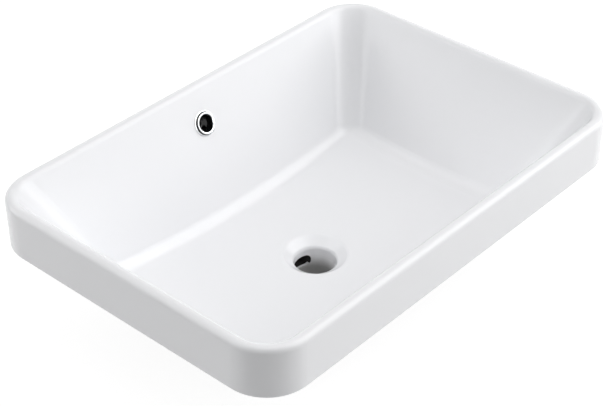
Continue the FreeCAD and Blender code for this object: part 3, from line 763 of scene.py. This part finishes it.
# %% Helpers for Geometry Nodes
def new_rule(name, sizes):
    """An empty tree with a named number input for each size, and the outputs of its input node."""
    tree = bpy.data.node_groups.new(name, "GeometryNodeTree")
    tree.interface.new_socket("Geometry", in_out="INPUT", socket_type="NodeSocketGeometry")
    tree.interface.new_socket("Geometry", in_out="OUTPUT", socket_type="NodeSocketGeometry")
    for size in sizes:
        tree.interface.new_socket(size, in_out="INPUT", socket_type="NodeSocketFloat")
    return tree, add_node(tree, "NodeGroupInput").outputs


def end_rule(tree, geometry, material):
    """End a tree in real geometry that carries its material."""
    real = add_node(tree, "GeometryNodeRealizeInstances", {"Geometry": geometry})
    finished = add_node(tree, "GeometryNodeSetMaterial", {
        "Geometry": real.outputs[0], "Material": material})
    add_node(tree, "NodeGroupOutput", {"Geometry": finished.outputs[0]})


def follow_rule(piece, tree, sizes):
    """Run a tree on a piece with sizes in millimetres, or plain counts, and keep the result."""
    modifier = piece.modifiers.new(tree.name, "NODES")
    modifier.node_group = tree
    inputs = [item for item in tree.interface.items_tree if item.in_out == "INPUT"]
    identifiers = {item.name: item.identifier for item in inputs}
    for name, value in sizes.items():
        modifier[identifiers[name]] = value if name == "Count" else value * MM
    return apply_modifiers(piece)


# %% [markdown]
# ## The seat seal
#
# A self-adhesive foam strip, 5 by 2 mm, runs round under the band, so that the china beds evenly on the
# worktop. It follows the basin's outline. So a rounded rectangle is the path, and the strip's own
# section, with its edges a little pinched by the cutter, is swept along it.

# %% Seat seal
seal_rule, seal_sizes = new_rule("strip_round_an_outline", [
    "Length", "Width", "Corner", "Strip", "Height", "Edge", "Level"])
seal_path = add_node(seal_rule, "GeometryNodeCurvePrimitiveQuadrilateral", {
    "Width": seal_sizes["Length"], "Height": seal_sizes["Width"]})
seal_path_rounded = add_node(seal_rule, "GeometryNodeFilletCurve", {
    "Curve": seal_path.outputs[0], "Radius": seal_sizes["Corner"], "Count": 16}, mode="POLY")
seal_section = add_node(seal_rule, "GeometryNodeCurvePrimitiveQuadrilateral", {
    "Width": seal_sizes["Strip"], "Height": seal_sizes["Height"]})
seal_section_rounded = add_node(seal_rule, "GeometryNodeFilletCurve", {
    "Curve": seal_section.outputs[0], "Radius": seal_sizes["Edge"], "Count": 4}, mode="POLY")
seal_swept = add_node(seal_rule, "GeometryNodeCurveToMesh", {
    "Curve": seal_path_rounded.outputs[0], "Profile Curve": seal_section_rounded.outputs[0]})
seal_lift = add_node(seal_rule, "ShaderNodeCombineXYZ", {"Z": seal_sizes["Level"]})
seal_lifted = add_node(seal_rule, "GeometryNodeSetPosition", {
    "Geometry": seal_swept.outputs[0], "Offset": seal_lift.outputs[0]})
end_rule(seal_rule, seal_lifted.outputs[0], foam)

SEAL_STRIP = 5
SEAL_CORNER = 42                        # radius of the strip's middle line
seal_length, seal_width, seal_height = size_of("seat_seal")
seal = follow_rule(new_piece("seat_seal_strip", [], []), seal_rule, {
    "Length": seal_length - SEAL_STRIP, "Width": seal_width - SEAL_STRIP, "Corner": SEAL_CORNER,
    "Strip": SEAL_STRIP, "Height": seal_height, "Edge": 0.5, "Level": SEAT - seal_height / 2})
hand_over(seal, Matrix(), foam, "basin", "seat_seal")

# %% [markdown]
# ## The worktop fixings
#
# Under each corner a nylon plug sits in a blind hole of the china, and an M6 stud is screwed up into
# it. A cranked clamp with a rubber pad hangs on the stud and turns in under the worktop, and a washer
# and a nut pull it up. The four sets are alike, so one loop for each kind of piece makes all four.

# %% Places of the fixings
CORNERS = {
    "front_left": (-1, -1),
    "front_right": (1, -1),
    "back_left": (-1, 1),
    "back_right": (1, 1),
}
STUD_INSET = 30                         # stud axis to both side faces of the band
PARK_TURN = 60                          # degrees from a corner's diagonal to its parked clamp
basin_length, basin_width, _ = size_of("ceramic_basin")


def at_stud(corner, height, parked=False):
    """The place on a corner's stud at this height, turned with the parked clamp if asked."""
    side, depth = CORNERS[corner]
    stud_x, stud_y = side * (basin_length / 2 - STUD_INSET), depth * (basin_width / 2 - STUD_INSET)
    angle = math.atan2(-depth, -side) + math.radians(side * depth * PARK_TURN) if parked else 0
    return Matrix.Translation(Vector((stud_x, stud_y, height)) * MM) @ Matrix.Rotation(angle, 4, "Z")


print(len(CORNERS), "studs, each", STUD_INSET, "mm in from two sides")

# %% [markdown]
# ## The studs
#
# The studs are M6 rods whose thread is rolled between dies, so that its flanks end in narrow flats.
# Winding a profile up the rod would leave its ends open. Here a flat grid is rolled up into the rod,
# and how far each point lies from the axis follows from its height and its angle. That one rule gives
# the thread, the chamfers and the flat ends.

# %% Rule of the thread
THREAD_AROUND = 36
THREAD_ROWS_A_TURN = 8
STUD_LENGTH = size_of("fixing_stud_front_left")[2]
STUD_RADIUS, THREAD_ROOT = 3, 2.45
STUD_CHAMFER = 0.8
THREAD_PITCH = 1
thread_rows = round(STUD_LENGTH / THREAD_PITCH) * THREAD_ROWS_A_TURN + 1

thread_rule, thread_sizes = new_rule("rolled_thread", ["Length", "Radius", "Root", "Pitch", "Chamfer"])
thread_grid = add_node(thread_rule, "GeometryNodeMeshGrid", {
    "Size X": FULL_TURN, "Size Y": thread_sizes["Length"], "Vertices X": THREAD_AROUND + 1,
    "Vertices Y": thread_rows})
grid_place = add_node(thread_rule, "GeometryNodeInputPosition")
around, along_rod, _ = add_node(thread_rule, "ShaderNodeSeparateXYZ", {0: grid_place.outputs[0]}).outputs
half_length = add_node(thread_rule, "ShaderNodeMath", {0: thread_sizes["Length"], 1: 0.5},
                       operation="MULTIPLY")
thread_height = add_node(thread_rule, "ShaderNodeMath", {0: along_rod, 1: half_length.outputs[0]},
                         operation="ADD").outputs[0]
pitches = add_node(thread_rule, "ShaderNodeMath", {0: thread_height, 1: thread_sizes["Pitch"]},
                   operation="DIVIDE")
turns = add_node(thread_rule, "ShaderNodeMath", {0: around, 1: FULL_TURN}, operation="DIVIDE")
helix = add_node(thread_rule, "ShaderNodeMath", {0: pitches.outputs[0], 1: turns.outputs[0]},
                 operation="SUBTRACT")
flank = add_node(thread_rule, "ShaderNodeMath", {0: helix.outputs[0], 1: 0.5}, operation="PINGPONG")
# The flanks rise between a narrow flat at the root and another at the crest.
thread_radius = add_node(thread_rule, "ShaderNodeMapRange", {
    "Value": flank.outputs[0], "From Min": 0.07, "From Max": 0.43, "To Min": thread_sizes["Root"],
    "To Max": thread_sizes["Radius"]})
end_radius = add_node(thread_rule, "ShaderNodeMath", {
    0: thread_sizes["Radius"], 1: thread_sizes["Chamfer"]}, operation="SUBTRACT")
from_top = add_node(thread_rule, "ShaderNodeMath", {0: thread_sizes["Length"], 1: thread_height},
                    operation="SUBTRACT")
from_end = add_node(thread_rule, "ShaderNodeMath", {0: thread_height, 1: from_top.outputs[0]},
                    operation="MINIMUM")
chamfer_limit = add_node(thread_rule, "ShaderNodeMath", {0: end_radius.outputs[0], 1: from_end.outputs[0]},
                         operation="ADD")
limited = add_node(thread_rule, "ShaderNodeMath", {
    0: thread_radius.outputs[0], 1: chamfer_limit.outputs[0]}, operation="MINIMUM")
# The first and last rows close to a point, which makes the flat ends of the rod.
is_body = add_node(thread_rule, "ShaderNodeMath", {0: from_end.outputs[0], 1: MM / 100},
                   operation="GREATER_THAN")
closed = add_node(thread_rule, "ShaderNodeMath", {0: limited.outputs[0], 1: is_body.outputs[0]},
                  operation="MULTIPLY")
waves = [
    add_node(thread_rule, "ShaderNodeMath", {0: around}, operation=wave).outputs[0]
    for wave in ("COSINE", "SINE")]
rod_x, rod_y = [
    add_node(thread_rule, "ShaderNodeMath", {0: closed.outputs[0], 1: wave}, operation="MULTIPLY")
    for wave in waves]
rod_place = add_node(thread_rule, "ShaderNodeCombineXYZ", {
    "X": rod_x.outputs[0], "Y": rod_y.outputs[0], "Z": thread_height})
rod = add_node(thread_rule, "GeometryNodeSetPosition", {
    "Geometry": thread_grid.outputs[0], "Position": rod_place.outputs[0]})
rod_closed = add_node(thread_rule, "GeometryNodeMergeByDistance", {
    "Geometry": rod.outputs[0], "Distance": MM / 1000})
end_rule(thread_rule, rod_closed.outputs[0], zinc)
print(thread_rows, "rows of", THREAD_AROUND, "points")

# %% Threaded stud
for corner in CORNERS:
    node = f"fixing_stud_{corner}"
    stud = follow_rule(new_piece(f"stud_{corner}_threaded", [], []), thread_rule, {
        "Length": STUD_LENGTH, "Radius": STUD_RADIUS, "Root": THREAD_ROOT, "Pitch": THREAD_PITCH,
        "Chamfer": STUD_CHAMFER})
    hand_over(stud, at_stud(corner, foot_of(node)), zinc, "basin", node)

# %% [markdown]
# ## The plugs
#
# A plug is moulded in polyamide, with a collar and with saw-toothed barbs that grip the hole. It is
# round, so it is turned: a loop repeats the barb in its outline, and the lathe does the rest.

# %% Barbed plug
PLUG_DEPTH = 15
PLUG_BORE, PLUG_CORE, BARB_RADIUS, COLLAR_RADIUS = 3.02, 4.55, 4.98, 7
COLLAR = 1.5                            # how thick the collar under the china is
BARBS = 5
FIRST_BARB, BARB_STEP = 0.9, 2.4
plug_outline = [(PLUG_BORE, -COLLAR, 0.3), (COLLAR_RADIUS, -COLLAR, 0.5), (COLLAR_RADIUS, 0, 0.3),
                (PLUG_CORE, 0, 0.2)]
for barb in range(BARBS):
    barb_foot = FIRST_BARB + barb * BARB_STEP
    plug_outline += [(PLUG_CORE, barb_foot, 0.1), (BARB_RADIUS, barb_foot + 0.15, 0.1),
                     (BARB_RADIUS, barb_foot + 0.6, 0.1), (PLUG_CORE, barb_foot + 1.9, 0.1)]
plug_outline += [(PLUG_CORE, PLUG_DEPTH - 0.8, 0.2), (3.9, PLUG_DEPTH, 0.3), (PLUG_BORE, PLUG_DEPTH, 0.2)]
for corner in CORNERS:
    node = f"fixing_plug_{corner}"
    plug = turned(f"plug_{corner}_barbed", rounded_outline(plug_outline))
    hand_over(plug, at_stud(corner, foot_of(node) + COLLAR), polyamide, "basin", node)

# %% [markdown]
# ## The clamps
#
# A clamp is cropped from steel strip, punched for the stud and bent twice. Only its side view shows
# both bends, so that outline is extruded to the strip's width and then cut to the rounded plan.

# %% Bent clamp
STRIP = 2.5                             # thickness of the steel
BEND = 1.2                              # inner radius of its bends
CLAMP_HALF = 7                          # half its width
CLAMP_TAIL, CLAMP_LEG, CLAMP_REACH = 8, 9.5, 19
CLAMP_DROP = 19.5                       # top of the arm to the top of the tongue
for corner in CORNERS:
    node = f"clamp_plate_{corner}"
    clamp = extruded(f"clamp_{corner}_bent", rounded_outline([
        (-CLAMP_TAIL, -STRIP, 0),
        (CLAMP_LEG - STRIP, -STRIP, BEND),
        (CLAMP_LEG - STRIP, -CLAMP_DROP - STRIP, BEND + STRIP),
        (CLAMP_REACH, -CLAMP_DROP - STRIP, 0),
        (CLAMP_REACH, -CLAMP_DROP, 0),
        (CLAMP_LEG, -CLAMP_DROP, BEND),
        (CLAMP_LEG, 0, BEND + STRIP),
        (-CLAMP_TAIL, 0, 0),
    ]), -CLAMP_HALF, CLAMP_HALF, along="Y")
    plan = rounded_outline([(-CLAMP_TAIL, -CLAMP_HALF, 4), (CLAMP_REACH, -CLAMP_HALF, 3),
                            (CLAMP_REACH, CLAMP_HALF, 3), (-CLAMP_TAIL, CLAMP_HALF, 4)])
    trim(clamp, extruded("plan", plan, -30, 10), "INTERSECT")
    trim(clamp, turned("stud_hole", rounded_outline(rectangle(0, -5, 3.3, 5))))
    soften(clamp, 0.25)
    hand_over(clamp, at_stud(corner, top_of(node), True), zinc, f"clamp_{corner}", node)

# %% [markdown]
# ## The ribbed pads
#
# The pad is a block of rubber bonded to the clamp's tongue. Its ribs give and grip as the nut is drawn
# up. The block is extruded and its edges rounded, and a Geometry Nodes rule lays the row of ribs across
# it.

# %% Rule of the ribs
rib_rule, rib_sizes = new_rule("row_of_ribs", ["Count", "First", "Spacing", "Radius", "Length", "Level"])
rib_row_start = add_node(rib_rule, "ShaderNodeCombineXYZ", {
    "X": rib_sizes["First"], "Z": rib_sizes["Level"]})
rib_row_step = add_node(rib_rule, "ShaderNodeCombineXYZ", {"X": rib_sizes["Spacing"]})
rib_row = add_node(rib_rule, "GeometryNodeMeshLine", {
    "Count": rib_sizes["Count"], "Start Location": rib_row_start.outputs[0],
    "Offset": rib_row_step.outputs[0]})
rib_start, rib_end = [
    add_node(rib_rule, "ShaderNodeMath", {0: rib_sizes["Length"], 1: half}, operation="MULTIPLY")
    for half in (-0.5, 0.5)]
rib_from = add_node(rib_rule, "ShaderNodeCombineXYZ", {"Y": rib_start.outputs[0]})
rib_to = add_node(rib_rule, "ShaderNodeCombineXYZ", {"Y": rib_end.outputs[0]})
rib_line = add_node(rib_rule, "GeometryNodeCurvePrimitiveLine", {
    "Start": rib_from.outputs[0], "End": rib_to.outputs[0]})
rib_round = add_node(rib_rule, "GeometryNodeCurvePrimitiveCircle", {
    "Resolution": 16, "Radius": rib_sizes["Radius"]})
rib = add_node(rib_rule, "GeometryNodeCurveToMesh", {
    "Curve": rib_line.outputs[0], "Profile Curve": rib_round.outputs[0], "Fill Caps": True})
ribs = add_node(rib_rule, "GeometryNodeInstanceOnPoints", {
    "Points": rib_row.outputs[0], "Instance": rib.outputs[0]})
rib_block = add_node(rib_rule, "GeometryNodeJoinGeometry")
rib_rule.links.new(ribs.outputs[0], rib_block.inputs[0])
rib_rule.links.new(rib_sizes["Geometry"], rib_block.inputs[0])
end_rule(rib_rule, rib_block.outputs[0], rubber)

# %% Ribbed pad
RIBS = 5
FIRST_RIB, RIB_SPACING = 10.6, 1.55     # stud axis to the first rib, and rib to rib
RIB_RADIUS = 0.55
PAD_BLOCK = 2.5                         # height of the block under the ribs
PAD_START, PAD_END = 9.55, 18           # stud axis to the pad's two ends
PAD_HALF = 6
for corner in CORNERS:
    node = f"clamp_pad_{corner}"
    block = [(PAD_START, -PAD_HALF, 0.4), (PAD_END, -PAD_HALF, 2), (PAD_END, PAD_HALF, 2),
             (PAD_START, PAD_HALF, 0.4)]
    pad = extruded(f"pad_{corner}_ribbed", rounded_outline(block), 0, PAD_BLOCK)
    soften(pad, 0.3)
    follow_rule(pad, rib_rule, {
        "Count": RIBS, "First": FIRST_RIB, "Spacing": RIB_SPACING, "Radius": RIB_RADIUS,
        "Length": 2 * PAD_HALF - 1, "Level": size_of(node)[2] - RIB_RADIUS})
    hand_over(pad, at_stud(corner, foot_of(node), True), rubber, f"clamp_{corner}", node)

# %% [markdown]
# ## Washers and nuts
#
# A washer is stamped, which rounds the edge where the punch goes in and leaves the other sharp, so it
# is turned from that outline. A nut is a hexagon. As in its making, a cone takes off its corners, and
# its bore widens at both ends to lead the stud in.

# %% Stamped washer
WASHER_BORE, WASHER_RADIUS = 3.2, 6
for corner in CORNERS:
    node = f"fixing_washer_{corner}"
    washer_foot = -size_of(node)[2]
    washer = turned(f"washer_{corner}_stamped", rounded_outline([
        (WASHER_BORE, washer_foot, 0.1), (WASHER_RADIUS, washer_foot, 0.1), (WASHER_RADIUS, 0, 0.5),
        (WASHER_BORE, 0, 0.4)]))
    hand_over(washer, at_stud(corner, top_of(node)), zinc, f"washer_{corner}", node)

# %% Chamfered nut
NUT_FLATS = 10
NUT_HEIGHT = size_of("fixing_nut_front_left")[2]
NUT_CORNER = NUT_FLATS / math.sqrt(3)
NUT_FACE = 4.75                         # radius of the flat face inside the chamfer
CHAMFER_DROP = (NUT_CORNER - NUT_FACE) * math.tan(math.radians(30))
CONE_EDGE = NUT_CORNER + 0.01
NUT_BORE = 3.05
MOUTH, MOUTH_DEPTH = 4.1, 0.45          # radius of the widened end 1 mm outside the nut, and its depth
for corner in CORNERS:
    node = f"fixing_nut_{corner}"
    sides = [math.radians(60 * k) for k in range(6)]
    hexagon = [(NUT_CORNER * math.cos(turn), NUT_CORNER * math.sin(turn)) for turn in sides]
    nut = extruded(f"nut_{corner}_chamfered", hexagon, 0, NUT_HEIGHT)
    trim(nut, turned("chamfer_cone", [
        (0, 0), (NUT_FACE, 0), (CONE_EDGE, CHAMFER_DROP), (CONE_EDGE, NUT_HEIGHT - CHAMFER_DROP),
        (NUT_FACE, NUT_HEIGHT), (0, NUT_HEIGHT)]), "INTERSECT")
    trim(nut, turned("bore", [
        (0, -1), (MOUTH, -1), (NUT_BORE, MOUTH_DEPTH), (NUT_BORE, NUT_HEIGHT - MOUTH_DEPTH),
        (MOUTH, NUT_HEIGHT + 1), (0, NUT_HEIGHT + 1)]))
    hand_over(nut, at_stud(corner, foot_of(node), True), zinc, f"nut_{corner}", node)
